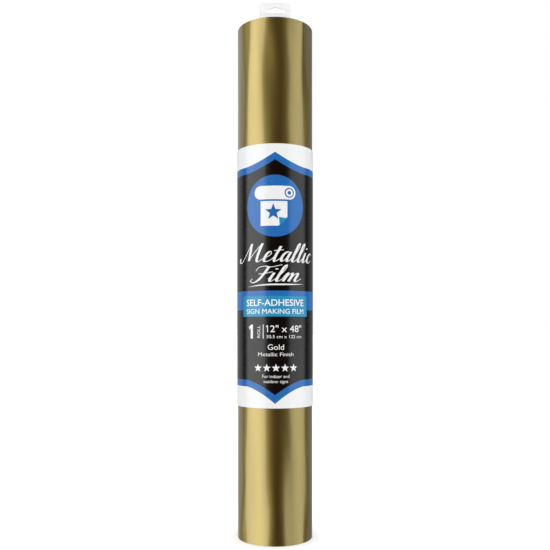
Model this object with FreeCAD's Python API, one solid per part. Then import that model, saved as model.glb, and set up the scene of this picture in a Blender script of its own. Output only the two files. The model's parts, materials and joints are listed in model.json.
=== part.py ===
import FreeCAD, Part

import math
import os

# A retail roll of adhesive sign vinyl: a gold film on its paper liner, wound film side
# out on a board core, held by a printed paper band and hung from a moulded core plug.
#
# The roll's axis is +Z and the roll stands on its lower end at z = 0.  The front of the
# label and of the hang tab face -Y, and +X is to the right.  Lengths are millimetres.
# Angles are degrees, measured from +X, anticlockwise as seen from above.

# The web: a 12 in by 48 in sheet of film on liner.
WEB_WIDTH = 304.8
WEB_LENGTH = 1219.2
FILM_THICKNESS = 0.083
LINER_THICKNESS = 0.145
LAYER_GAP = 0.002
PITCH = FILM_THICKNESS + LINER_THICKNESS + 2 * LAYER_GAP
TAIL_ANGLE = 125.0

# The core: a 1.5 in bore in spiral-wound board, pressed wider where the plug sits.
BORE_RADIUS = 19.05
CORE_WALL = 1.1
CORE_RADIUS = BORE_RADIUS + CORE_WALL
SEAT_PRESS = 0.25
SEAT_RADIUS = BORE_RADIUS + SEAT_PRESS
SEAT_DEPTH = 12.5

# Double-sided tape that starts the web on the core.
START_TAPE_WIDTH = 12.7
START_TAPE_THICKNESS = 0.09
CONTACT_GAP = 0.005
WEB_START_RADIUS = CORE_RADIUS + START_TAPE_THICKNESS + 2 * CONTACT_GAP

# Clear tape that holds the web's free end, above and below the label.
TAIL_TAPE_HEIGHT = 12.7
TAIL_TAPE_LENGTH = 22.0
TAIL_TAPE_THICKNESS = 0.05
TAIL_TAPE_RAMP = 1.0
TAIL_TAPE_MID_HEIGHTS = {"tail_tape_top": 276.0, "tail_tape_bottom": 34.0}

# The paper label: a 6 in band a little over one turn long, glued to itself at the back.
LABEL_BOTTOM = 79.5
LABEL_HEIGHT = 152.4
LABEL_THICKNESS = 0.10
LABEL_CLEARANCE = 0.06
LABEL_OVERLAP = 12.0
LABEL_SEAM_ANGLE = 62.0
SEAM_TAPE_WIDTH = 9.0
SEAM_TAPE_THICKNESS = 0.06
LABEL_PITCH = LABEL_THICKNESS + SEAM_TAPE_THICKNESS + 2 * CONTACT_GAP

# The hanger plug: a flanged cup pressed into the core, with a blade for the hang tab.
PLUG_DEPTH = 12.0
PLUG_RUN_GAP = 0.05
PLUG_RIB_HEIGHT = 0.15
PLUG_RIB_WIDTH = 1.2
PLUG_RIB_COUNT = 8
PLUG_WALL = 1.0
PLUG_FLOOR = 1.0
PLUG_LEAD_IN = 0.4
PLUG_RADIUS = SEAT_RADIUS - PLUG_RUN_GAP - PLUG_RIB_HEIGHT
PLUG_CUP_RADIUS = PLUG_RADIUS - PLUG_WALL
FLANGE_RADIUS = 20.0
FLANGE_THICKNESS = 1.0
FLANGE_EDGE_RADIUS = 0.3
BLADE_THICKNESS = 1.2
CROSS_RIB_HEIGHT = 6.0
TAB_WIDTH = 18.8
TAB_RISE = 17.6
TAB_CORNER_RADIUS = 1.5
TAB_SHOULDER_RADIUS = 3.0
# The blade and the cross rib start half way down the cup's floor, so that they join it.
BLADE_FOOT = WEB_WIDTH - PLUG_DEPTH + PLUG_FLOOR / 2

# The hang slot: a wide low slot with a round rise in its middle.
SLOT_WIDTH = 13.0
SLOT_HEIGHT = 2.6
SLOT_BOTTOM_RISE = 11.6
SLOT_HUMP_RADIUS = 3.25
SLOT_HUMP_TOP_RISE = 15.2

# Longest stretch of a thin strip's curved face, so that each stays close to its circle.
ARC_STEP = 9.0

UP = FreeCAD.Vector(0, 0, 1)
ORIGIN = FreeCAD.Vector(0, 0, 0)


def polar(radius, degrees, centre=ORIGIN):
    """The point at a radius and an angle from a centre."""
    angle = math.radians(degrees)
    return centre + FreeCAD.Vector(radius * math.cos(angle), radius * math.sin(angle), 0)


def arc(centre, radius, start, end):
    """An edge along a circle about the centre, between two angles."""
    middle = polar(radius, (start + end) / 2, centre)
    return Part.Arc(polar(radius, start, centre), middle, polar(radius, end, centre)).toShape()


def line(a, b):
    return Part.LineSegment(a, b).toShape()


def raised(edges, bottom, height):
    """A solid of the height given, standing on the outline that the edges close."""
    face = Part.Face(Part.Wire(edges))
    face.translate(UP * bottom)
    solid = face.extrude(UP * height)
    if solid.Volume < 0:
        solid.reverse()
    return solid


def arcs(centre, radius, start, end):
    """Edges along a circle between two angles, end to end, none longer than ARC_STEP."""
    count = math.ceil(abs(end - start) / ARC_STEP)
    step = (end - start) / count
    return [arc(centre, radius, start + i * step, start + (i + 1) * step) for i in range(count)]


def sector(centre, inner, outer, start, end, bottom, height):
    """Part of a ring about a centre, between two angles."""
    edges = arcs(centre, inner, start, end)
    edges.append(line(polar(inner, end, centre), polar(outer, end, centre)))
    edges += arcs(centre, outer, end, start)
    edges.append(line(polar(outer, start, centre), polar(inner, start, centre)))
    return raised(edges, bottom, height)


class Spiral:
    """A smooth spiral made of half circles, whose radius grows by the pitch each turn.

    Half circles about two centres, half a pitch apart on either side of the axis, meet
    tangentially, and so do their offsets.
    """

    def __init__(self, start_radius, pitch, start_angle, sweep):
        self.start_radius = start_radius
        self.pitch = pitch
        self.start_angle = start_angle
        self.sweep = sweep

    def centre(self, half_turn):
        side = -1 if half_turn % 2 == 0 else 1
        return polar(side * self.pitch / 4, self.start_angle)

    def radius(self, half_turn):
        return self.start_radius + self.pitch / 4 + half_turn * self.pitch / 2

    def runs(self):
        """The half turns, as (centre, radius, start angle, end angle)."""
        found = []
        for half_turn in range(math.ceil(self.sweep / 180)):
            start = 180 * half_turn
            end = min(start + 180, self.sweep)
            found.append(
                (
                    self.centre(half_turn),
                    self.radius(half_turn),
                    self.start_angle + start,
                    self.start_angle + end,
                )
            )
        return found

    def end_radius(self, offset):
        """How far from the axis the spiral ends, at an offset from it."""
        centre, radius, _, end = self.runs()[-1]
        return polar(radius + offset, end, centre).Length

    def strip(self, inner, outer, bottom, height):
        """A sheet wound along the spiral, between two offsets from it."""
        runs = self.runs()
        inside = [arc(c, r + inner, start, end) for c, r, start, end in runs]
        outside = [arc(c, r + outer, end, start) for c, r, start, end in reversed(runs)]
        first_centre, first_radius, first_angle, _ = runs[0]
        last_centre, last_radius, _, last_angle = runs[-1]
        end_line = line(
            polar(last_radius + inner, last_angle, last_centre),
            polar(last_radius + outer, last_angle, last_centre),
        )
        start_line = line(
            polar(first_radius + outer, first_angle, first_centre),
            polar(first_radius + inner, first_angle, first_centre),
        )
        return raised(inside + [end_line] + outside + [start_line], bottom, height)


def sweep_of_length(start_radius, pitch, length):
    """The angle that a spiral turns through over a length measured along it."""
    sweep = 0.0
    radius = start_radius + pitch / 4
    left = length
    while left > math.pi * radius:
        left -= math.pi * radius
        radius += pitch / 2
        sweep += 180
    return sweep + math.degrees(left / radius)


def web_spiral():
    """The liner's inner face, wound so that the film's free edge is at TAIL_ANGLE."""
    neutral = LINER_THICKNESS
    sweep = sweep_of_length(WEB_START_RADIUS + neutral, PITCH, WEB_LENGTH)
    return Spiral(WEB_START_RADIUS, PITCH, (TAIL_ANGLE - sweep) % 360, sweep)


WEB = web_spiral()
FILM_INNER_OFFSET = LINER_THICKNESS + LAYER_GAP
FILM_OUTER_OFFSET = FILM_INNER_OFFSET + FILM_THICKNESS
ROLL_RADIUS = WEB.end_radius(FILM_OUTER_OFFSET)
LABEL_RADIUS = ROLL_RADIUS + CONTACT_GAP + TAIL_TAPE_THICKNESS + LABEL_CLEARANCE


def label_spiral():
    """The label's inner face, which ends an overlap past the place where it starts."""
    overlap = math.degrees(LABEL_OVERLAP / LABEL_RADIUS)
    return Spiral(LABEL_RADIUS, LABEL_PITCH, LABEL_SEAM_ANGLE, 360 + overlap)


LABEL = label_spiral()


def core_tube():
    """The board tube, with a short cone up to the seat that the plug has pressed."""
    tube = Part.makeCylinder(CORE_RADIUS, WEB_WIDTH)
    bore = Part.makeCylinder(BORE_RADIUS, WEB_WIDTH)
    seat_bottom = WEB_WIDTH - SEAT_DEPTH
    seat = Part.makeCylinder(SEAT_RADIUS, SEAT_DEPTH, UP * seat_bottom)
    cone_height = 2 * SEAT_PRESS
    cone_bottom = UP * (seat_bottom - cone_height)
    cone = Part.makeCone(BORE_RADIUS, SEAT_RADIUS, cone_height, cone_bottom)
    return tube.cut([bore, cone, seat]).removeSplitter()


def start_tape():
    inner = CORE_RADIUS + CONTACT_GAP
    outer = inner + START_TAPE_THICKNESS
    start = WEB.start_angle
    end = start + math.degrees(START_TAPE_WIDTH / inner)
    return sector(ORIGIN, inner, outer, start, end, 0, WEB_WIDTH)


def release_liner():
    return WEB.strip(0, LINER_THICKNESS, 0, WEB_WIDTH)


def vinyl_film():
    return WEB.strip(FILM_INNER_OFFSET, FILM_OUTER_OFFSET, 0, WEB_WIDTH)


def tail_tape(mid_height):
    """Tape on the film's last turn that steps down onto the turn below, past the edge."""
    centre, radius, _, edge = WEB.runs()[-1]
    low = radius + FILM_OUTER_OFFSET + CONTACT_GAP - PITCH
    high = low + PITCH
    top = high + TAIL_TAPE_THICKNESS
    step = low + TAIL_TAPE_THICKNESS
    reach = math.degrees(TAIL_TAPE_LENGTH / 2 / radius)
    ramp = math.degrees(TAIL_TAPE_RAMP / radius)
    start, end = edge - reach, edge + reach
    over = edge + ramp / 2
    foot = over + ramp
    edges = [
        arc(centre, high, start, over),
        line(polar(high, over, centre), polar(low, foot, centre)),
        arc(centre, low, foot, end),
        line(polar(low, end, centre), polar(step, end, centre)),
        arc(centre, step, end, foot),
        line(polar(step, foot, centre), polar(top, over, centre)),
        arc(centre, top, over, start),
        line(polar(top, start, centre), polar(high, start, centre)),
    ]
    return raised(edges, mid_height - TAIL_TAPE_HEIGHT / 2, TAIL_TAPE_HEIGHT)


def label_band():
    return LABEL.strip(0, LABEL_THICKNESS, LABEL_BOTTOM, LABEL_HEIGHT)


def label_seam_tape():
    """Double-sided tape between the label's first edge and the end that laps over it."""
    inner = LABEL.radius(0) + LABEL_THICKNESS + CONTACT_GAP
    outer = inner + SEAM_TAPE_THICKNESS
    margin = (LABEL_OVERLAP - SEAM_TAPE_WIDTH) / 2
    start = LABEL_SEAM_ANGLE + math.degrees(margin / LABEL_RADIUS)
    end = start + math.degrees(SEAM_TAPE_WIDTH / LABEL_RADIUS)
    return sector(LABEL.centre(0), inner, outer, start, end, LABEL_BOTTOM, LABEL_HEIGHT)


def plug_cup():
    """The cup below the core's end, its flange on the core, and its crush ribs."""
    top = WEB_WIDTH
    bottom = top - PLUG_DEPTH
    body = Part.makeCylinder(PLUG_RADIUS, PLUG_DEPTH, UP * bottom)
    body = body.makeChamfer(PLUG_LEAD_IN, [body.Edges[edge_at(body, bottom)]])
    flange = Part.makeCylinder(FLANGE_RADIUS, FLANGE_THICKNESS, UP * top)
    rim = flange.Edges[edge_at(flange, top + FLANGE_THICKNESS)]
    flange = flange.makeFillet(FLANGE_EDGE_RADIUS, [rim])
    hollow_height = PLUG_DEPTH + FLANGE_THICKNESS - PLUG_FLOOR
    hollow = Part.makeCylinder(PLUG_CUP_RADIUS, hollow_height, UP * (bottom + PLUG_FLOOR))
    return body.fuse([flange] + crush_ribs(bottom)).cut(hollow)


def edge_at(solid, height):
    """The number of the solid's round edge that lies at a height."""
    for number, edge in enumerate(solid.Edges):
        box = edge.BoundBox
        if box.ZLength < 1e-6 and abs(box.ZMin - height) < 1e-6:
            return number
    raise ValueError("no level edge at " + str(height))


def crush_ribs(bottom):
    """Low upright ribs that grip the core, starting above the cup's lead-in."""
    reach = 2 * PLUG_WALL / 3 + PLUG_RIB_HEIGHT
    low = bottom + 2 * PLUG_LEAD_IN
    ribs = []
    for number in range(PLUG_RIB_COUNT):
        corner = FreeCAD.Vector(PLUG_RADIUS + PLUG_RIB_HEIGHT - reach, -PLUG_RIB_WIDTH / 2, low)
        rib = Part.makeBox(reach, PLUG_RIB_WIDTH, WEB_WIDTH - low, corner)
        rib = rib.common(Part.makeCylinder(PLUG_RADIUS + PLUG_RIB_HEIGHT, WEB_WIDTH))
        rib.rotate(ORIGIN, UP, (number + 0.5) * 360 / PLUG_RIB_COUNT)
        ribs.append(rib)
    return ribs


def tab_outline():
    """The blade's outline: the cup's width at the foot, the tab's width above."""
    shoulder = WEB_WIDTH
    top = WEB_WIDTH + TAB_RISE
    half_foot = PLUG_CUP_RADIUS + PLUG_WALL / 2
    half_tab = TAB_WIDTH / 2
    bend = half_tab + TAB_SHOULDER_RADIUS
    diagonal = math.sqrt(0.5)
    shoulder_drop = TAB_SHOULDER_RADIUS * (1 - diagonal)
    corner_in = TAB_CORNER_RADIUS * (1 - diagonal)

    def at(side, x, z):
        return FreeCAD.Vector(side * x, BLADE_THICKNESS / 2, z)

    def half(side):
        return [
            line(at(side, 0, BLADE_FOOT), at(side, half_foot, BLADE_FOOT)),
            line(at(side, half_foot, BLADE_FOOT), at(side, half_foot, shoulder)),
            line(at(side, half_foot, shoulder), at(side, bend, shoulder)),
            Part.Arc(
                at(side, bend, shoulder),
                at(side, half_tab + shoulder_drop, shoulder + shoulder_drop),
                at(side, half_tab, shoulder + TAB_SHOULDER_RADIUS),
            ).toShape(),
            line(
                at(side, half_tab, shoulder + TAB_SHOULDER_RADIUS),
                at(side, half_tab, top - TAB_CORNER_RADIUS),
            ),
            Part.Arc(
                at(side, half_tab, top - TAB_CORNER_RADIUS),
                at(side, half_tab - corner_in, top - corner_in),
                at(side, half_tab - TAB_CORNER_RADIUS, top),
            ).toShape(),
            line(at(side, half_tab - TAB_CORNER_RADIUS, top), at(side, 0, top)),
        ]

    return Part.Wire(Part.__sortEdges__(half(1) + half(-1)))


def hang_slot():
    """The cutter for the slot: a round-ended slot and the rise over its middle."""
    depth = 3 * BLADE_THICKNESS
    end_radius = SLOT_HEIGHT / 2
    low = WEB_WIDTH + SLOT_BOTTOM_RISE
    half = SLOT_WIDTH / 2 - end_radius
    start = FreeCAD.Vector(-half, -depth / 2, low)
    cutter = Part.makeBox(2 * half, depth, SLOT_HEIGHT, start)
    along = FreeCAD.Vector(0, 1, 0)
    for side in (-1, 1):
        centre = FreeCAD.Vector(side * half, -depth / 2, low + end_radius)
        cutter = cutter.fuse(Part.makeCylinder(end_radius, depth, centre, along))
    hump_centre = WEB_WIDTH + SLOT_HUMP_TOP_RISE - SLOT_HUMP_RADIUS
    hump = Part.makeCylinder(
        SLOT_HUMP_RADIUS, depth, FreeCAD.Vector(0, -depth / 2, hump_centre), along
    )
    above = Part.makeBox(
        SLOT_WIDTH, depth, TAB_RISE, FreeCAD.Vector(-SLOT_WIDTH / 2, -depth / 2, low)
    )
    return cutter.fuse(hump.common(above)).removeSplitter()


def hanger_plug():
    blade = Part.Face(tab_outline()).extrude(FreeCAD.Vector(0, -BLADE_THICKNESS, 0))
    blade = blade.cut(hang_slot())
    cross = Part.makeBox(
        BLADE_THICKNESS,
        2 * PLUG_CUP_RADIUS + PLUG_WALL,
        CROSS_RIB_HEIGHT,
        FreeCAD.Vector(-BLADE_THICKNESS / 2, -PLUG_CUP_RADIUS - PLUG_WALL / 2, BLADE_FOOT),
    )
    return plug_cup().fuse([blade, cross]).removeSplitter()


def parts():
    """Every piece of the roll, by name."""
    made = {
        "core_tube": core_tube(),
        "start_tape": start_tape(),
        "release_liner": release_liner(),
        "vinyl_film": vinyl_film(),
        "label_band": label_band(),
        "label_seam_tape": label_seam_tape(),
        "hanger_plug": hanger_plug(),
    }
    for name, mid_height in TAIL_TAPE_MID_HEIGHTS.items():
        made[name] = tail_tape(mid_height)
    return made


def main():
    os.makedirs("parts", exist_ok=True)
    for name, shape in parts().items():
        solid = shape.Solids[0] if len(shape.Solids) == 1 else shape
        solid.exportStep("parts/" + name + ".step")
        box = solid.BoundBox
        print(
            name,
            "solids", len(solid.Solids),
            "valid", solid.isValid(),
            "volume", round(solid.Volume, 1),
            "size", round(box.XLength, 2), round(box.YLength, 2), round(box.ZLength, 2),
        )
    print("turns", round(WEB.sweep / 360, 3), "outer diameter", round(2 * ROLL_RADIUS, 3))


main()
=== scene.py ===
import json
import math

import bpy
import numpy as np
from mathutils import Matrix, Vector
from mathutils.geometry import delaunay_2d_cdt


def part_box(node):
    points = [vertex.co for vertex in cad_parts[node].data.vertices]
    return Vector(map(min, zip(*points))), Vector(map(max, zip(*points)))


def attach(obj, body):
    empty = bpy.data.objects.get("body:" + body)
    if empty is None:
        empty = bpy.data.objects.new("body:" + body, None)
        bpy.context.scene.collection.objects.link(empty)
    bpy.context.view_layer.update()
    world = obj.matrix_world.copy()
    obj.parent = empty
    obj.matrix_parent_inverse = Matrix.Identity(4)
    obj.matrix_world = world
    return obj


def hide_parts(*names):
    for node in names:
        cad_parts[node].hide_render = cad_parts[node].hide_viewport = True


# A roll of gold sign vinyl, stood upright.  Lengths are metres, except in the label's
# artwork, which is laid out in millimetres and scaled by MM.  Angles that name a place
# on the roll are degrees from +X, anticlockwise seen from above; the front is at 270.

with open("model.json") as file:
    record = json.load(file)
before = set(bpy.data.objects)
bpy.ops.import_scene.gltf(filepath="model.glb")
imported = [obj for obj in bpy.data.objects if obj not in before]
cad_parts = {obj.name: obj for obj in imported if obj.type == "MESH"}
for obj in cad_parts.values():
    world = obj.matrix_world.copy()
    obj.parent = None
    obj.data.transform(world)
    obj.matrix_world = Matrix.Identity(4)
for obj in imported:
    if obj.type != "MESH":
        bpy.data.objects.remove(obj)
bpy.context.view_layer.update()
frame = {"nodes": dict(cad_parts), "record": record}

MM = 0.001
FRONT = 270.0

# Sizes that the frame gives.
CORE_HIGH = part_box("core_tube")[1]
LABEL_LOW, LABEL_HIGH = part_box("label_band")
WEB_WIDTH = CORE_HIGH.z
CORE_RADIUS = CORE_HIGH.x
MOUNTS = {mount["name"]: mount for mount in frame["record"]["mounts"]}
BORE_RADIUS = MOUNTS["core_bore"]["dims"]["r_mm"] * MM

# The web, as the CAD model winds it.
FILM = 0.083 * MM
LINER = 0.145 * MM
LAYER_GAP = 0.002 * MM
PITCH = FILM + LINER + 2 * LAYER_GAP
WEB_LENGTH = 1.2192
WEB_START_RADIUS = CORE_RADIUS + 0.10 * MM
TAIL_ANGLE = 125.0

# The seat that the plug has pressed into the core's upper end.
SEAT_PRESS = 0.25 * MM
SEAT_DEPTH = 12.5 * MM

# The label, as the CAD model wraps it.
PAPER = 0.10 * MM
LABEL_PITCH = 0.17 * MM
LABEL_START = 62.0
LABEL_OVERLAP = 12 * MM
SEAM_TAPE = 0.06 * MM
CONTACT_GAP = 0.005 * MM

# Edges sharper than this are shaded as edges.
SHARP_ANGLE = math.radians(35)


# ---------------------------------------------------------------- node helpers


def new_material(name, roughness=0.5, colour=(0.8, 0.8, 0.8), **sockets):
    """A material whose Principled shader has these constant values."""
    made = bpy.data.materials.new(name)
    made.use_nodes = True
    shader = made.node_tree.nodes["Principled BSDF"]
    shader.inputs["Base Color"].default_value = (*colour, 1)
    shader.inputs["Roughness"].default_value = roughness
    for socket, value in sockets.items():
        shader.inputs[socket.replace("_", " ")].default_value = value
    return made


def principled(made):
    return made.node_tree.nodes["Principled BSDF"]


def add_node(made, kind, **settings):
    node = made.node_tree.nodes.new(kind)
    for name, value in settings.items():
        setattr(node, name, value)
    return node


def link(made, output, target):
    made.node_tree.links.new(output, target)


def position(made, stretch=(1, 1, 1)):
    """Object coordinates, in metres, scaled along each axis."""
    source = add_node(made, "ShaderNodeTexCoord")
    mapping = add_node(made, "ShaderNodeMapping")
    mapping.inputs["Scale"].default_value = stretch
    link(made, source.outputs["Object"], mapping.inputs["Vector"])
    return mapping.outputs["Vector"]


def sheet_position(made, stretch=(1, 1)):
    """The flat sheet's own coordinates, in metres: along the web, and up it."""
    source = add_node(made, "ShaderNodeUVMap", uv_map="sheet")
    mapping = add_node(made, "ShaderNodeMapping")
    mapping.inputs["Scale"].default_value = (*stretch, 1)
    link(made, source.outputs["UV"], mapping.inputs["Vector"])
    return mapping.outputs["Vector"]


def noise(made, vector, size, detail=3.0, roughness=0.55):
    """Noise with features of about the size given, in metres, from 0 to 1."""
    node = add_node(made, "ShaderNodeTexNoise")
    node.inputs["Scale"].default_value = 1 / size
    node.inputs["Detail"].default_value = detail
    node.inputs["Roughness"].default_value = roughness
    link(made, vector, node.inputs["Vector"])
    return node.outputs["Fac"]


def between(made, value, low, high, start=0.3, end=0.7):
    """The value from start to end, spread from low to high."""
    node = add_node(made, "ShaderNodeMapRange")
    node.inputs["From Min"].default_value = start
    node.inputs["From Max"].default_value = end
    node.inputs["To Min"].default_value = low
    node.inputs["To Max"].default_value = high
    link(made, value, node.inputs["Value"])
    return node.outputs["Result"]


def math_node(made, operation, first, second=None):
    """The result of a sum on one value, or on two, the second a number or an output."""
    node = add_node(made, "ShaderNodeMath", operation=operation)
    link(made, first, node.inputs[0])
    if isinstance(second, (int, float)):
        node.inputs[1].default_value = second
    elif second is not None:
        link(made, second, node.inputs[1])
    return node.outputs[0]


def ramp(made, value, *stops):
    """A colour from the value, through (place, colour) stops."""
    node = add_node(made, "ShaderNodeValToRGB")
    elements = node.color_ramp.elements
    while len(elements) < len(stops):
        elements.new(0.5)
    for element, (place, colour) in zip(elements, stops):
        element.position = place
        element.color = (*colour, 1)
    link(made, value, node.inputs["Fac"])
    return node.outputs["Color"]


def bump(made, height, depth, before=None):
    """A bump of the depth given, in metres, over an earlier one if there is one."""
    node = add_node(made, "ShaderNodeBump")
    node.inputs["Strength"].default_value = 1.0
    node.inputs["Distance"].default_value = depth
    link(made, height, node.inputs["Height"])
    if before:
        link(made, before, node.inputs["Normal"])
    return node.outputs["Normal"]


# ------------------------------------------------------------------- materials


def gold_film_material():
    """Metallic calendered film: gold flake under a clear gloss skin, faintly wavy."""
    made = new_material("gold_film", Metallic=1.0, Coat_Weight=1.0, Coat_Roughness=0.10)
    shader = principled(made)
    flake = noise(made, sheet_position(made), 0.4 * MM, 2.0)
    colour = ramp(
        made,
        flake,
        (0.35, (0.35, 0.270, 0.078)),
        (0.65, (0.42, 0.328, 0.102)),
    )
    link(made, colour, shader.inputs["Base Color"])
    sweep = noise(made, sheet_position(made, (1, 0.12)), 9 * MM)
    link(made, between(made, sweep, 0.34, 0.42), shader.inputs["Roughness"])
    long_waves = noise(made, sheet_position(made, (1, 0.22)), 19 * MM, 1.0, 0.4)
    end_waves = math_node(made, "MULTIPLY", long_waves, near_ends(made))
    grain = noise(made, sheet_position(made), 0.25 * MM, 2.0)
    waves = bump(made, end_waves, 4.2 * MM, bump(made, long_waves, 0.35 * MM))
    normal = bump(made, grain, 0.002 * MM, waves)
    link(made, normal, shader.inputs["Normal"])
    link(made, waves, shader.inputs["Coat Normal"])
    return made


def near_ends(made):
    """1 at the roll's ends, where the outer turn lies loosest, fading to 0 inwards."""
    source = add_node(made, "ShaderNodeUVMap", uv_map="sheet")
    split = add_node(made, "ShaderNodeSeparateXYZ")
    link(made, source.outputs["UV"], split.inputs["Vector"])
    across = math_node(made, "SUBTRACT", split.outputs["Y"], WEB_WIDTH / 2)
    from_middle = math_node(made, "ABSOLUTE", across)
    return between(made, from_middle, 0, 1, WEB_WIDTH / 2 - 90 * MM, WEB_WIDTH / 2)


def liner_material():
    """Silicone-coated paper, seen only as edges at the roll's ends."""
    made = new_material("liner_paper", 0.6)
    fibres = noise(made, position(made, (1, 1, 0.2)), 0.5 * MM)
    colour = ramp(made, fibres, (0.3, (0.80, 0.78, 0.72)), (0.7, (0.90, 0.89, 0.85)))
    link(made, colour, principled(made).inputs["Base Color"])
    link(made, bump(made, fibres, 0.02 * MM), principled(made).inputs["Normal"])
    return made


def board_material():
    """Kraft board: mottled fibres, and the helical seam of the innermost ply."""
    made = new_material("core_board", 0.85)
    shader = principled(made)
    fibres = noise(made, position(made, (1, 1, 1)), 1.2 * MM, 6.0, 0.65)
    specks = noise(made, position(made, (1, 1, 0.4)), 0.35 * MM, 2.0)
    colour = ramp(
        made,
        fibres,
        (0.25, (0.30, 0.20, 0.115)),
        (0.55, (0.43, 0.30, 0.18)),
        (0.80, (0.52, 0.38, 0.24)),
    )
    seam = seam_mask(made)
    darker = add_node(made, "ShaderNodeMix", data_type="RGBA", blend_type="MULTIPLY")
    darker.inputs["B"].default_value = (0.45, 0.42, 0.40, 1)
    link(made, seam, darker.inputs["Factor"])
    link(made, colour, darker.inputs["A"])
    link(made, darker.outputs["Result"], shader.inputs["Base Color"])
    link(made, between(made, specks, 0.78, 0.95), shader.inputs["Roughness"])
    normal = bump(made, specks, 0.03 * MM, bump(made, fibres, 0.05 * MM))
    link(made, normal, shader.inputs["Normal"])
    return made


def seam_mask(made):
    """1 along the line where the ply's edges meet, which climbs the tube as a helix."""
    ply_lead = 92 * MM
    source = add_node(made, "ShaderNodeUVMap", uv_map="sheet")
    split = add_node(made, "ShaderNodeSeparateXYZ")
    link(made, source.outputs["UV"], split.inputs["Vector"])
    turns = math_node(made, "DIVIDE", split.outputs["X"], 2 * math.pi * BORE_RADIUS)
    climb = math_node(made, "DIVIDE", split.outputs["Y"], ply_lead)
    phase = math_node(made, "FRACT", math_node(made, "ADD", turns, climb))
    return math_node(made, "LESS_THAN", phase, 0.008)


def printed_material(name, colour, roughness):
    """Ink, or bare stock, on coated paper: fibres swell the surface a little."""
    made = new_material(name, roughness, colour, Specular_IOR_Level=0.62)
    shader = principled(made)
    vector = sheet_position(made)
    gloss = noise(made, vector, 3 * MM, 4.0)
    low, high = roughness - 0.03, roughness + 0.04
    link(made, between(made, gloss, low, high), shader.inputs["Roughness"])
    fibres = noise(made, vector, 0.30 * MM, 3.0)
    waves = noise(made, sheet_position(made, (1, 0.4)), 14 * MM, 1.0)
    normal = bump(made, fibres, 0.0016 * MM, bump(made, waves, 0.10 * MM))
    link(made, normal, shader.inputs["Normal"])
    return made


def plug_material():
    """Moulded polypropylene: milky, softly clear, with faint flow marks."""
    made = new_material(
        "moulded_clear",
        0.32,
        (0.90, 0.91, 0.92),
        Transmission_Weight=0.75,
        IOR=1.45,
    )
    shader = principled(made)
    flow = noise(made, position(made, (1, 1, 0.3)), 5 * MM, 2.0)
    colour = ramp(made, flow, (0.3, (0.90, 0.905, 0.91)), (0.7, (0.95, 0.952, 0.955)))
    link(made, colour, shader.inputs["Base Color"])
    link(made, between(made, flow, 0.26, 0.40), shader.inputs["Roughness"])
    grain = noise(made, position(made), 0.35 * MM, 2.0)
    link(made, bump(made, grain, 0.01 * MM), shader.inputs["Normal"])
    return made


def clear_tape_material():
    """Frosted clear tape, pressed down with a few trapped streaks."""
    made = new_material(
        "clear_tape",
        0.30,
        (0.95, 0.95, 0.93),
        Transmission_Weight=0.9,
        IOR=1.45,
    )
    shader = principled(made)
    streaks = noise(made, position(made, (1, 1, 0.25)), 2 * MM, 3.0)
    colour = ramp(made, streaks, (0.3, (0.93, 0.93, 0.91)), (0.7, (0.97, 0.97, 0.96)))
    link(made, colour, shader.inputs["Base Color"])
    link(made, between(made, streaks, 0.26, 0.34), shader.inputs["Roughness"])
    link(made, bump(made, streaks, 0.003 * MM), shader.inputs["Normal"])
    return made


def tissue_tape_material():
    """Double-sided tissue tape, of which only the edges show."""
    made = new_material("tissue_tape", 0.7)
    fibres = noise(made, position(made), 0.8 * MM)
    colour = ramp(made, fibres, (0.3, (0.74, 0.71, 0.62)), (0.7, (0.84, 0.82, 0.74)))
    link(made, colour, principled(made).inputs["Base Color"])
    return made


# --------------------------------------------------------------- mesh helpers


def polar(radius, degrees, height):
    angle = math.radians(degrees)
    return (radius * math.cos(angle), radius * math.sin(angle), height)


def add_piece(name, body, points, faces, materials, sheet=None):
    """A mesh object that rides on a body, with its flat sheet coordinates as UVs."""
    mesh = bpy.data.meshes.new(name)
    mesh.from_pydata([tuple(p) for p in points], [], [tuple(f) for f in faces])
    for made in materials:
        mesh.materials.append(made)
    if sheet is not None:
        layer = mesh.uv_layers.new(name="sheet")
        corners = np.zeros(len(mesh.loops), np.int32)
        mesh.loops.foreach_get("vertex_index", corners)
        layer.data.foreach_set("uv", np.asarray(sheet, np.float32)[corners].ravel())
    mesh.polygons.foreach_set("use_smooth", np.ones(len(mesh.polygons), bool))
    mesh.update()
    piece = bpy.data.objects.new(name, mesh)
    bpy.context.scene.collection.objects.link(piece)
    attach(piece, body)
    return piece


# ------------------------------------------------------------------- the web


def web_turns():
    """How many turns a spiral needs to hold the web's length."""
    a = math.pi * PITCH
    b = 2 * math.pi * (WEB_START_RADIUS + LINER)
    return (math.sqrt(b * b + 4 * a * WEB_LENGTH) - b) / (2 * a)


TURNS = web_turns()
WEB_START_ANGLE = TAIL_ANGLE - 360 * TURNS
STEPS_PER_TURN = 144
LINER_ROWS = 2
FILM_ROWS = 19


def wave(turn, degrees, height):
    """How far the outer turns stand proud near the roll's ends, in metres."""
    outer = max(0.0, 1 - (TURNS - turn) / 2.5)
    to_end = min(height, WEB_WIDTH - height)
    near_end = math.exp(-to_end / (26 * MM))
    phase = math.radians(degrees)
    ripple = math.sin(3 * phase + 40 * height) + 0.6 * math.sin(5 * phase - 25 * height)
    return 0.028 * MM * outer * near_end * ripple


def edge_drift(turn):
    """How far a turn's edges sit in from the roll's ends, from loose winding."""
    return 0.05 * MM * (1 + math.sin(2.1 * turn)) + 0.06 * MM * max(0.0, turn - TURNS + 1)


def web_heights(rows):
    """Heights from 0 to 1, closer together near both ends."""
    return [(1 - math.cos(math.pi * i / (rows - 1))) / 2 for i in range(rows)]


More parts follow.
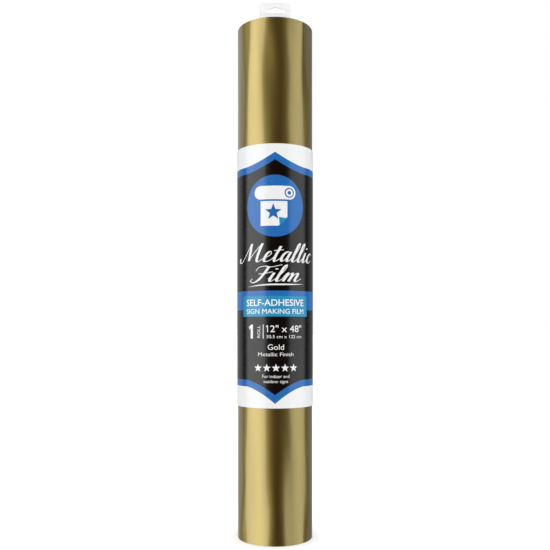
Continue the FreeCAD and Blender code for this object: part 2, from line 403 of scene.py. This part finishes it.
def wound_sheet(name, inner, outer, rows, made):
    """A closed sheet wound on the core, between two offsets from the spiral."""
    count = math.ceil(TURNS * STEPS_PER_TURN) + 1
    heights = web_heights(rows)
    points, sheet = [], []
    for i in range(count):
        turn = TURNS * i / (count - 1)
        degrees = WEB_START_ANGLE + 360 * turn
        radius = WEB_START_RADIUS + PITCH * turn
        length = math.pi * turn * (2 * WEB_START_RADIUS + PITCH * turn)
        drift = edge_drift(turn)
        for share in heights:
            height = drift + share * (WEB_WIDTH - 2 * drift)
            lift = wave(turn, degrees, height)
            points.append(polar(radius + inner + lift, degrees, height))
            points.append(polar(radius + outer + lift, degrees, height))
            sheet += [(length, height)] * 2

    def at(column, row, side):
        return 2 * (column * rows + row) + side

    faces = []
    for i in range(count - 1):
        for j in range(rows - 1):
            faces.append((at(i, j, 1), at(i + 1, j, 1), at(i + 1, j + 1, 1), at(i, j + 1, 1)))
            faces.append((at(i, j, 0), at(i, j + 1, 0), at(i + 1, j + 1, 0), at(i + 1, j, 0)))
        top = rows - 1
        faces.append((at(i, 0, 0), at(i + 1, 0, 0), at(i + 1, 0, 1), at(i, 0, 1)))
        faces.append((at(i, top, 0), at(i, top, 1), at(i + 1, top, 1), at(i + 1, top, 0)))
    for j in range(rows - 1):
        last = count - 1
        faces.append((at(0, j, 0), at(0, j, 1), at(0, j + 1, 1), at(0, j + 1, 0)))
        faces.append((at(last, j, 0), at(last, j + 1, 0), at(last, j + 1, 1), at(last, j, 1)))
    piece = add_piece(name, "roll", points, faces, [made], sheet)
    piece.data.set_sharp_from_angle(angle=SHARP_ANGLE)
    return piece


def make_web():
    liner = wound_sheet("liner_wound", 0, LINER, LINER_ROWS, liner_material())
    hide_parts("release_liner")
    inner = LINER + LAYER_GAP
    film = wound_sheet("film_wound", inner, inner + FILM, FILM_ROWS, gold_film_material())
    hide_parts("vinyl_film")


# ------------------------------------------------------------------- the core


def make_core():
    """The board tube: a profile turned about the axis, with worn, rounded end edges."""
    edge = 0.18 * MM
    seat_radius = BORE_RADIUS + SEAT_PRESS
    seat_bottom = WEB_WIDTH - SEAT_DEPTH
    profile = [
        (BORE_RADIUS + edge, 0),
        (BORE_RADIUS, edge),
        (BORE_RADIUS, seat_bottom - 2 * SEAT_PRESS),
        (seat_radius, seat_bottom),
        (seat_radius, WEB_WIDTH - edge),
        (seat_radius + edge, WEB_WIDTH),
        (CORE_RADIUS - edge, WEB_WIDTH),
        (CORE_RADIUS, WEB_WIDTH - edge),
        (CORE_RADIUS, edge),
        (CORE_RADIUS - edge, 0),
    ]
    steps = 160
    points, sheet = [], []
    for i in range(steps + 1):
        for radius, height in profile:
            points.append(polar(radius, 360 * i / steps, height))
            sheet.append((2 * math.pi * BORE_RADIUS * i / steps, height))
    rows = len(profile)
    faces = []
    corner_sheet = []
    for i in range(steps):
        following = (i + 1) % steps
        for j in range(rows):
            above = (j + 1) % rows
            faces.append(
                (i * rows + j, i * rows + above, following * rows + above, following * rows + j)
            )
            corner_sheet += [
                sheet[i * rows + j],
                sheet[i * rows + above],
                sheet[(i + 1) * rows + above],
                sheet[(i + 1) * rows + j],
            ]
    core = add_piece("core_turned", "roll", points[: steps * rows], faces, [board_material()])
    layer = core.data.uv_layers.new(name="sheet")
    layer.data.foreach_set("uv", np.asarray(corner_sheet, np.float32).ravel())
    core.data.set_sharp_from_angle(angle=SHARP_ANGLE)
    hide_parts("core_tube")


# ------------------------------------------------------- the label's artwork

# Places on the label are (s, z) in millimetres: s along the paper from the front's
# middle, to the right as seen, and z above the roll's lower end.
PAPER_INK, BLACK_INK, BLUE_INK, BRIGHT_INK = range(4)
BADGE = (0.0, 196.1)
BADGE_RADIUS = 17.8
# The pointed borders: how far their points reach to each side, and how they curve.
POINT_HALF = 19.0
POINT_CURVE = 1.75
# How tall a capital of the plain lettering is, at size 1.
CAP_HEIGHT = 0.73


def closed(points):
    """The edges of a closed outline, as rows of x, y, x, y."""
    points = np.asarray(points, float)
    return np.hstack([points, np.roll(points, -1, axis=0)])


def box(low_s, low_z, high_s, high_z):
    return closed([(low_s, low_z), (high_s, low_z), (high_s, high_z), (low_s, high_z)])


def arc_points(centre, radius, start, end, count):
    angles = np.radians(np.linspace(start, end, count))
    return [
        (centre[0] + radius * math.cos(a), centre[1] + radius * math.sin(a)) for a in angles
    ]


def disc(centre, radius):
    return closed(arc_points(centre, radius, 0, 357, 120))


def rounded_box(low_s, low_z, high_s, high_z, radius):
    corners = [
        (high_s - radius, high_z - radius, 0),
        (low_s + radius, high_z - radius, 90),
        (low_s + radius, low_z + radius, 180),
        (high_s - radius, low_z + radius, 270),
    ]
    points = []
    for s, z, start in corners:
        points += arc_points((s, z), radius, start, start + 90, 9)
    return closed(points)


def star(centre, radius):
    points = []
    for i in range(10):
        reach = radius if i % 2 == 0 else radius * 0.42
        angle = math.radians(90 + 36 * i)
        points.append((centre[0] + reach * math.cos(angle), centre[1] + reach * math.sin(angle)))
    return closed(points)


def border(apex, side, left, right):
    """A level line round the label that draws to a point at the front's middle."""
    half = np.linspace(POINT_HALF, 0, 28)
    rise = [(s, side + (apex - side) * (1 - s / POINT_HALF) ** POINT_CURVE) for s in half]
    points = [(-s, z) for s, z in rise] + [(s, z) for s, z in reversed(rise[:-1])]
    return [(left, side)] + points + [(right, side)]


def field(low, high, left, right):
    """What lies between two of the label's pointed lines."""
    return closed(border(*low, left, right) + border(*high, left, right)[::-1])


def lettering(words, middle, width=None, cap=None, slant=0.0, bold=0.0, turn=0.0):
    """A line of plain lettering, fitted to a width or a capital height, in millimetres."""
    curve = bpy.data.curves.new("lettering", "FONT")
    curve.body = words
    curve.shear = slant
    curve.offset = bold
    curve.resolution_u = 5
    holder = bpy.data.objects.new("lettering", curve)
    bpy.context.scene.collection.objects.link(holder)
    bpy.context.view_layer.update()
    mesh = bpy.data.meshes.new_from_object(holder)
    used = np.zeros(len(mesh.edges), int)
    corners = np.zeros(len(mesh.loops), np.int32)
    mesh.loops.foreach_get("edge_index", corners)
    np.add.at(used, corners, 1)
    flat = np.array([v.co[:2] for v in mesh.vertices])
    outline = np.array([e.vertices[:] for e in mesh.edges])[used == 1]
    bpy.data.objects.remove(holder)
    bpy.data.curves.remove(curve)
    bpy.data.meshes.remove(mesh)
    low, high = flat.min(0), flat.max(0)
    size = width / (high[0] - low[0]) if width else cap / CAP_HEIGHT
    flat = (flat - (low + high) / 2) * size
    if cap and width:
        flat[:, 1] *= cap / (CAP_HEIGHT * size)
    spin = math.radians(turn)
    turned = np.column_stack(
        [
            flat[:, 0] * math.cos(spin) - flat[:, 1] * math.sin(spin),
            flat[:, 0] * math.sin(spin) + flat[:, 1] * math.cos(spin),
        ]
    )
    placed = turned + np.array(middle)
    return np.hstack([placed[outline[:, 0]], placed[outline[:, 1]]])


def roll_badge():
    """A sheet of film, drawn part unrolled, with a star cut in it and a lifted corner."""
    s, z = BADGE
    roll_z, roll_half, roll_radius = z + 7.6, 8.4, 3.9
    end = (s + roll_half, roll_z)
    body = arc_points((s - roll_half, roll_z), roll_radius, 90, 270, 25)
    body += arc_points(end, roll_radius, -90, 90, 25)
    sheet_left, sheet_right = s - roll_half, s + roll_half - 1.2
    foot = z - 11.5
    fold = 5.2
    sheet_outline = [
        (sheet_left, foot),
        (sheet_right - fold, foot),
        (sheet_right, foot + fold),
        (sheet_right, roll_z - roll_radius - 1.0),
        (sheet_left, roll_z - roll_radius - 1.0),
    ]
    corner = [
        (sheet_right - fold + 0.7, foot + 0.1),
        (sheet_right - 0.1, foot + fold - 0.7),
        (sheet_right - fold + 0.2, foot + fold - 0.2),
    ]
    return [
        (BLUE_INK, disc(BADGE, BADGE_RADIUS)),
        (PAPER_INK, closed(body)),
        (BLUE_INK, disc(end, 2.9)),
        (PAPER_INK, disc(end, 2.15)),
        (BLUE_INK, disc(end, 1.1)),
        (PAPER_INK, closed(sheet_outline)),
        (BLUE_INK, star((s - 1.0, z - 3.6), 5.0)),
        (BRIGHT_INK, closed(corner)),
    ]


# A joined hand, drawn for this label.  Each letter is its width, then its pen strokes.  The
# line's foot is 0, small letters are 1 high, and a letter is joined on 0.25 above the foot.
HAND = {
    "M": (
        2.05,
        [(-0.55, 0.45), (-0.42, 0.08), (-0.1, 0.0), (0.2, 0.55), (0.5, 1.85)],
        [(0.5, 1.85), (0.62, 1.2), (0.78, 0.12)],
        [(0.78, 0.12), (1.1, 1.0), (1.52, 1.85)],
        [(1.52, 1.85), (1.5, 1.0), (1.55, 0.25), (1.75, 0.0), (2.05, 0.25)],
    ),
    "F": (
        1.25,
        [(0.8, 1.72), (0.72, 1.0), (0.5, 0.2), (0.15, -0.12), (-0.2, 0.05), (-0.12, 0.35)],
        [(-0.1, 1.25), (0.02, 1.62), (0.45, 1.78), (1.0, 1.68), (1.75, 1.95)],
        [(0.25, 0.88), (0.75, 0.92), (1.3, 1.12)],
    ),
    "e": (
        0.86,
        [(0.0, 0.25), (0.3, 0.42), (0.58, 0.72), (0.5, 1.0), (0.28, 0.88), (0.16, 0.42)],
        [(0.16, 0.42), (0.22, 0.1), (0.42, 0.0), (0.66, 0.08), (0.86, 0.25)],
    ),
    "t": (
        0.62,
        [(0.0, 0.25), (0.16, 0.7), (0.3, 1.55)],
        [(0.3, 1.55), (0.2, 0.7), (0.2, 0.2), (0.34, 0.0), (0.62, 0.25)],
        [(-0.12, 1.1), (0.25, 1.13), (0.66, 1.2)],
    ),
    "a": (
        1.0,
        [(0.0, 0.25), (0.1, 0.4), (0.17, 0.6)],
        [(0.72, 0.86), (0.5, 1.0), (0.24, 0.78), (0.15, 0.32), (0.3, 0.02), (0.52, 0.2)],
        [(0.52, 0.2), (0.66, 0.6), (0.76, 1.0)],
        [(0.76, 1.0), (0.66, 0.45), (0.7, 0.08), (0.84, 0.03), (1.0, 0.25)],
    ),
    "l": (
        0.56,
        [(0.0, 0.25), (0.26, 0.8), (0.44, 1.5), (0.4, 1.9), (0.26, 1.75), (0.2, 1.2)],
        [(0.2, 1.2), (0.16, 0.6), (0.18, 0.12), (0.34, 0.0), (0.56, 0.25)],
    ),
    "i": (
        0.52,
        [(0.0, 0.25), (0.12, 0.6), (0.22, 1.0)],
        [(0.22, 1.0), (0.16, 0.45), (0.18, 0.08), (0.32, 0.0), (0.52, 0.25)],
        [(0.27, 1.5), (0.25, 1.38)],
    ),
    "c": (
        0.8,
        [(0.0, 0.25), (0.1, 0.4), (0.17, 0.6)],
        [(0.62, 0.8), (0.5, 1.0), (0.26, 0.82), (0.15, 0.36), (0.3, 0.02), (0.56, 0.06), (0.8, 0.3)],
    ),
    "m": (
        1.62,
        [(0.0, 0.25), (0.1, 0.7), (0.22, 1.0), (0.22, 0.6), (0.16, 0.0)],
        [(0.16, 0.0), (0.34, 0.7), (0.58, 1.0), (0.66, 0.7), (0.6, 0.0)],
        [(0.6, 0.0), (0.8, 0.7), (1.04, 1.0), (1.14, 0.75), (1.08, 0.25), (1.24, 0.0), (1.62, 0.35)],
    ),
}
PEN_THIN = 0.075
PEN_BROAD = 0.23
HAND_SLANT = 0.36


def smooth_path(points, steps=7):
    """Points along a Catmull-Rom spline through the points given."""
    points = np.asarray(points, float)
    first, last = 2 * points[0] - points[1], 2 * points[-1] - points[-2]
    padded = np.vstack([first, points, last])
    path = [points[0]]
    for a, b, c, d in zip(padded, padded[1:], padded[2:], padded[3:]):
        for step in range(1, steps + 1):
            u = step / steps
            path.append(
                0.5
                * (
                    2 * b
                    + (c - a) * u
                    + (2 * a - 5 * b + 4 * c - d) * u**2
                    + (3 * b - a - 3 * c + d) * u**3
                )
            )
    return np.array(path)


def pen_stroke(points):
    """The quads that a pen leaves, broad on the way down and thin on the way up."""
    path = smooth_path(points)
    heading = np.gradient(path, axis=0)
    heading /= np.linalg.norm(heading, axis=1)[:, None]
    width = PEN_THIN + (PEN_BROAD - PEN_THIN) * np.clip(-heading[:, 1], 0, 1)
    aside = np.column_stack([-heading[:, 1], heading[:, 0]]) * width[:, None] / 2
    left, right = path + aside, path - aside
    return [np.array([left[i], left[i + 1], right[i + 1], right[i]]) for i in range(len(path) - 1)]


def handwriting(words, middle, width, height):
    """A word in the joined hand, as one outline for each short length of pen stroke."""
    quads, along = [], 0.0
    for letter in words:
        advance, *strokes = HAND[letter]
        for stroke in strokes:
            quads += pen_stroke([(x + along, y) for x, y in stroke])
        along += advance
    quads = np.array(quads)
    quads[:, :, 0] += HAND_SLANT * quads[:, :, 1]
    low, high = quads.min(axis=(0, 1)), quads.max(axis=(0, 1))
    scale = np.array([width, height]) / (high - low)
    placed = (quads - (low + high) / 2) * scale + np.array(middle)
    return [(PAPER_INK, closed(quad)) for quad in placed]


def numeral_one(middle, foot, height, stroke=0.2):
    """A plain numeral one, with a flag, standing on its foot."""
    shape = [
        (-stroke / 2, 0),
        (stroke / 2, 0),
        (stroke / 2, 1),
        (-stroke / 6, 1),
        (-0.27, 0.83),
        (-0.27 + stroke / 3, 0.83 - stroke),
        (-stroke / 2, 0.97 - stroke),
    ]
    return closed([(middle + height * s, foot + height * z) for s, z in shape])


def swash(middle, half_width, depth, thickness):
    """A stroke that swells in its middle and tapers to both ends."""
    across = np.linspace(-1, 1, 41)
    low = [(middle[0] + half_width * t, middle[1] + depth * t * abs(t)) for t in across]
    high = [(s, z + thickness * (1 - t * t)) for (s, z), t in zip(low, across)]
    return closed(low + high[-2:0:-1])


def ribbon():
    notch = 4.0
    wing = 47.0
    wings = [
        (-wing, 136.3),
        (wing, 136.3),
        (wing - notch, 141.8),
        (wing, 147.3),
        (-wing, 147.3),
        (-wing + notch, 141.8),
    ]
    half = 21.5
    return [
        (BLUE_INK, closed(wings)),
        (BRIGHT_INK, box(-half, 132.4, half, 144.3)),
        (PAPER_INK, lettering("SELF-ADHESIVE", (0, 140.4), 36.6, 3.9, bold=0.012)),
        (PAPER_INK, lettering("SIGN MAKING FILM", (0, 135.4), 36.6, 2.9, bold=0.006)),
    ]


def front_words():
    words = handwriting("Metallic", (0.3, 169.4), 52.0, 11.6)
    words += handwriting("Film", (0.4, 157.1), 32.0, 10.6)
    words += [
        (PAPER_INK, swash((0.6, 150.4), 18.0, 0.9, 0.9)),
        (PAPER_INK, numeral_one(-14.3, 119.7, 8.1)),
        (PAPER_INK, lettering("ROLL", (-9.6, 123.7), 7.0, 1.9, turn=90)),
        (PAPER_INK, box(-7.1, 119.7, -6.65, 127.8)),
        (PAPER_INK, numeral_one(-4.3, 123.4, 4.0, 0.13)),
        (PAPER_INK, lettering('2" x 48"', (6.9, 125.4), 19.3, 4.0, bold=0.004)),
        (PAPER_INK, lettering("30.5 cm x 122 cm", (5.8, 120.8), 21.5, 1.9)),
        (PAPER_INK, lettering("Gold", (0.5, 114.8), 9.4, 3.3)),
        (PAPER_INK, lettering("Metallic Finish", (0.5, 110.6), 21.0, 2.2)),
        (PAPER_INK, lettering("For indoor and", (0.5, 97.9), 15.8, 1.9)),
        (PAPER_INK, lettering("outdoor signs", (0.5, 94.7), 14.2, 1.9)),
    ]
    for i in range(5):
        words.append((PAPER_INK, star((0.5 + 5.3 * (i - 2), 102.7), 2.45)))
    return words


def steps_panel(middle):
    """A white panel at the back with three numbered steps: cut, peel, apply."""
    half, low, high = 13.0, 106.0, 208.0
    drawn = [(PAPER_INK, rounded_box(middle - half, low, middle + half, high, 2.5))]
    for number, word in enumerate(("Cut", "Peel", "Apply")):
        top = high - 4 - 32.5 * number
        z = top - 11.5
        drawn += [
            (BLUE_INK, disc((middle - 8.2, top - 4.0), 2.9)),
            (PAPER_INK, lettering(str(number + 1), (middle - 8.2, top - 4.0), cap=3.0)),
            (BLACK_INK, lettering(word, (middle + 2.6, top - 4.0), cap=3.0)),
            (BLUE_INK, rounded_box(middle - 8.5, z - 14.0, middle + 8.5, z + 2.2, 1.0)),
        ]
        drawn += step_picture(number, middle, z - 6.0)
    return drawn


def step_picture(number, s, z):
    """A small drawing: a cut star, a peeled sheet, or a squeegee on a sheet."""
    if number == 0:
        return [
            (PAPER_INK, box(s - 6.5, z - 6.2, s + 6.5, z + 6.2)),
            (BLUE_INK, star((s, z - 0.4), 5.2)),
            (PAPER_INK, star((s, z - 0.4), 4.3)),
        ]
    if number == 1:
        lifted = [(s - 6.5, z + 6.2), (s + 2.5, z + 6.2), (s - 6.5, z - 3.2)]
        curl = [(s + 2.5, z + 6.2), (s - 6.5, z - 3.2), (s + 0.6, z - 1.4)]
        return [
            (PAPER_INK, box(s - 6.5, z - 6.2, s + 6.5, z + 6.2)),
            (BLUE_INK, closed(lifted)),
            (BRIGHT_INK, closed(curl)),
        ]
    blade = [(s - 5.0, z - 1.2), (s + 5.0, z + 1.6), (s + 3.6, z + 6.6), (s - 6.4, z + 3.8)]
    return [
        (PAPER_INK, box(s - 6.5, z - 6.2, s + 6.5, z - 2.4)),
        (BRIGHT_INK, closed(blade)),
        (PAPER_INK, star((s + 2.5, z - 4.3), 1.4)),
    ]


def care_panel(middle):
    """A white panel at the back with plain lines on storing the roll."""
    half, low, high = 12.0, 132.0, 182.0
    lines = ["Keep rolls", "upright, dry", "and out of", "the sun.", "Width 12 in", "Length 48 in"]
    drawn = [(PAPER_INK, rounded_box(middle - half, low, middle + half, high, 2.5))]
    for i, words in enumerate(lines):
        z = high - 7.5 - 7.0 * i
        drawn.append((BLACK_INK, lettering(words, (middle, z), cap=2.7)))
    return drawn


def artwork(left, right):
    """The label's printing, from the bottom layer up: (ink, outline edges)."""
    edge = 2.0
    left, right = left - edge, right + edge
    layers = [
        (BLUE_INK, field((82.1, 91.7), (227.1, 219.6), left, right)),
        (BLACK_INK, field((87.1, 95.6), (222.8, 215.5), left, right)),
    ]
    layers += roll_badge() + ribbon() + front_words()
    layers += steps_panel(-52.0) + care_panel(51.0)
    return layers


def inside(points, edges):
    """Whether each point is inside the outline, by counting the edges to its right."""
    found = np.zeros(len(points), bool)
    low, high = edges.reshape(-1, 2).min(0), edges.reshape(-1, 2).max(0)
    near = np.all((points >= low) & (points <= high), axis=1)
    x, y = points[near, 0][:, None], points[near, 1][:, None]
    x0, y0, x1, y1 = edges.T
    crosses = (y0 > y) != (y1 > y)
    rise = np.where(y1 == y0, 1.0, y1 - y0)
    at = x0 + (y - y0) / rise * (x1 - x0)
    found[near] = (np.count_nonzero(crosses & (at > x), axis=1) % 2).astype(bool)
    return found


def grid_edges(left, right, low, high, step_s, step_z):
    """Lines across and up the label, so that it bends smoothly when wrapped."""
    edges = []
    columns = max(2, round((right - left) / step_s))
    rows = max(2, round((high - low) / step_z))
    for s in np.linspace(left, right, columns + 1):
        edges.append((s, low, s, high))
    for z in np.linspace(low, high, rows + 1):
        edges.append((left, z, right, z))
    return np.array(edges)


def flat_label(left, right, low, high):
    """The printed sheet, flat, as points, triangles and each triangle's ink."""
    layers = artwork(left, right)
    edges = np.vstack([grid_edges(left, right, low, high, 0.8, 8.0)] + [e for _, e in layers])
    edges[:, [0, 2]] = np.clip(edges[:, [0, 2]], left, right)
    ends = edges.reshape(-1, 2)
    links = [(2 * i, 2 * i + 1) for i in range(len(edges))]
    found = delaunay_2d_cdt([Vector(p) for p in ends], links, [], 0, 1e-5, False)
    points = np.array([p[:] for p in found[0]])
    faces = np.array([f for f in found[2] if len(f) == 3])
    middles = points[faces].mean(axis=1)
    ink = np.full(len(faces), PAPER_INK)
    for colour, outline in layers:
        ink[inside(middles, outline)] = colour
    a, b, c = points[faces[:, 0]], points[faces[:, 1]], points[faces[:, 2]]
    area = (b[:, 0] - a[:, 0]) * (c[:, 1] - a[:, 1]) - (b[:, 1] - a[:, 1]) * (c[:, 0] - a[:, 0])
    faces[area < 0] = faces[area < 0][:, ::-1]
    return points, faces, ink


def make_label():
    """The band: the flat printed sheet given its thickness and wrapped round the roll."""
    start_radius = label_start_radius()
    sweep = 360 + math.degrees(LABEL_OVERLAP / start_radius)
    mm_per_degree = math.radians(1) * start_radius / MM
    left = -(FRONT - LABEL_START) * mm_per_degree
    right = left + sweep * mm_per_degree
    points, faces, ink = flat_label(left, right, LABEL_LOW.z / MM, LABEL_HIGH.z / MM)
    degrees = FRONT + points[:, 0] / mm_per_degree
    radius = start_radius + LABEL_PITCH * (degrees - LABEL_START) / 360
    around = np.column_stack([np.cos(np.radians(degrees)), np.sin(np.radians(degrees))])
    height = points[:, 1:2] * MM
    inner = np.hstack([around * radius[:, None], height])
    outer = np.hstack([around * (radius[:, None] + PAPER), height])
    count = len(points)
    rim = open_edges(faces)
    walls = [(a, a + count, b + count, b) for a, b in rim]
    all_faces = [tuple(f + count) for f in faces] + [tuple(f[::-1]) for f in faces] + walls
    materials = [
        printed_material("label_stock", (0.73, 0.735, 0.74), 0.30),
        printed_material("label_black", (0.001, 0.001, 0.001), 0.24),
        printed_material("label_blue", (0.0005, 0.116, 0.395), 0.24),
        printed_material("label_bright_blue", (0.002, 0.225, 0.42), 0.24),
    ]
    sheet = np.vstack([points * MM, points * MM])
    label = add_piece("label_printed", "label", np.vstack([inner, outer]), all_faces, materials, sheet)
    inks = np.zeros(len(all_faces), np.int32)
    inks[: len(faces)] = ink
    label.data.polygons.foreach_set("material_index", inks)
    shade_round(label.data, count)
    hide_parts("label_band")


def label_start_radius():
    """The paper's inner radius where it starts, from the seam tape that lies on it."""
    seam_low, seam_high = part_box("label_seam_tape")
    reach = math.hypot(seam_low.x, seam_high.y)
    return reach - SEAM_TAPE - CONTACT_GAP - PAPER


def open_edges(faces):
    """The sheet's own rim, as edges in the order in which their faces run."""
    edges = np.vstack([faces[:, [0, 1]], faces[:, [1, 2]], faces[:, [2, 0]]])
    keys = {}
    for a, b in edges.tolist():
        keys[(min(a, b), max(a, b))] = None if (min(a, b), max(a, b)) in keys else (a, b)
    return [edge for edge in keys.values() if edge]


def shade_round(mesh, inner_count):
    """Gives both faces a true cylinder's normals; the rim's quads keep their own."""
    mesh.set_sharp_from_angle(angle=SHARP_ANGLE)
    corners = np.zeros(len(mesh.loops), np.int32)
    mesh.loops.foreach_get("vertex_index", corners)
    places = np.zeros(len(mesh.vertices) * 3, np.float32)
    mesh.vertices.foreach_get("co", places)
    outwards = places.reshape(-1, 3)[corners]
    outwards[:, 2] = 0
    outwards /= np.linalg.norm(outwards, axis=1)[:, None]
    normals = np.where((corners < inner_count)[:, None], -outwards, outwards)
    for polygon in mesh.polygons:
        if polygon.loop_total == 4:
            normals[polygon.loop_start : polygon.loop_start + 4] = polygon.normal
    mesh.normals_split_custom_set(normals.tolist())


# -------------------------------------------------------------- CAD pieces kept


def finish_cad_nodes():
    """The nodes whose CAD shape is right keep it, and get their real finish."""
    plug, clear, tissue = plug_material(), clear_tape_material(), tissue_tape_material()
    for name, made in {
        "hanger_plug": plug,
        "tail_tape_top": clear,
        "tail_tape_bottom": clear,
        "start_tape": tissue,
        "label_seam_tape": tissue,
    }.items():
        materials = frame["nodes"][name].data.materials
        materials.clear()
        materials.append(made)


# ------------------------------------------------------------------- the stage


def make_floor():
    """A pale matte floor, large enough to run out to the horizon."""
    steps, reach = 96, 30.0
    points = [polar(reach, 360 * i / steps, 0) for i in range(steps)]
    mesh = bpy.data.meshes.new("floor")
    mesh.from_pydata(points, [], [tuple(range(steps))])
    mesh.materials.append(new_material("floor_paper", 0.9, (0.9, 0.9, 0.9)))
    floor = bpy.data.objects.new("floor", mesh)
    bpy.context.scene.collection.objects.link(floor)
    floor.visible_glossy = False
    floor.visible_shadow = False


SOFTBOX_HEIGHT = 2.4
SOFTBOX_MIDDLE = 0.35


def softbox(name, azimuth, distance, width, radiance, tint=(1, 1, 1)):
    """A tall soft light that faces the roll. Azimuth 0 is behind the camera, 90 right."""
    light = bpy.data.lights.new(name, "AREA")
    light.shape = "RECTANGLE"
    light.size, light.size_y = width, SOFTBOX_HEIGHT
    light.energy = radiance * math.pi * width * SOFTBOX_HEIGHT
    light.color = tint
    holder = bpy.data.objects.new(name, light)
    angle = math.radians(azimuth)
    place = Vector((distance * math.sin(angle), -distance * math.cos(angle), SOFTBOX_MIDDLE))
    holder.location = place
    to_roll = Vector((0, 0, SOFTBOX_MIDDLE)) - place
    holder.rotation_euler = to_roll.to_track_quat("-Z", "Y").to_euler()
    holder.visible_diffuse = False
    bpy.context.scene.collection.objects.link(holder)


def make_lights():
    """Two bright softboxes, two dim ones behind, a dim warm fill, and light from above."""
    softbox("left_softbox", -61, 1.0, 1.25, 2.05)
    softbox("right_softbox", 72, 1.0, 1.06, 1.20)
    softbox("left_edge", -140, 1.2, 1.2, 0.50)
    softbox("right_edge", 145, 1.2, 1.2, 0.28)
    softbox("front_fill", 0, 1.6, 2.0, 0.08, (1.0, 0.46, 0.08))
    sun = bpy.data.lights.new("overhead", "SUN")
    sun.energy = 1.8
    sun.angle = math.radians(25)
    holder = bpy.data.objects.new("overhead", sun)
    holder.visible_glossy = False
    bpy.context.scene.collection.objects.link(holder)


def make_world():
    """A plain white surround that lights matte surfaces evenly and isn't mirrored."""
    world = bpy.data.worlds.new("surround")
    world.use_nodes = True
    background = world.node_tree.nodes["Background"]
    background.inputs["Color"].default_value = (1, 1, 1, 1)
    world.cycles_visibility.glossy = False
    bpy.context.scene.world = world
    bpy.context.scene.view_settings.view_transform = "Standard"


def make_camera():
    """A level camera on the roll's front, a little below its middle."""
    camera = bpy.data.cameras.new("camera")
    camera.sensor_width = 36
    camera.lens = 47.53
    camera.shift_y = 0.1045
    holder = bpy.data.objects.new("camera", camera)
    holder.location = (0, -0.44, 0.1232)
    holder.rotation_euler = (math.radians(90), 0, 0)
    bpy.context.scene.collection.objects.link(holder)
    bpy.context.scene.camera = holder


make_camera()
make_world()
make_floor()
make_lights()
make_core()
make_web()
make_label()
finish_cad_nodes()
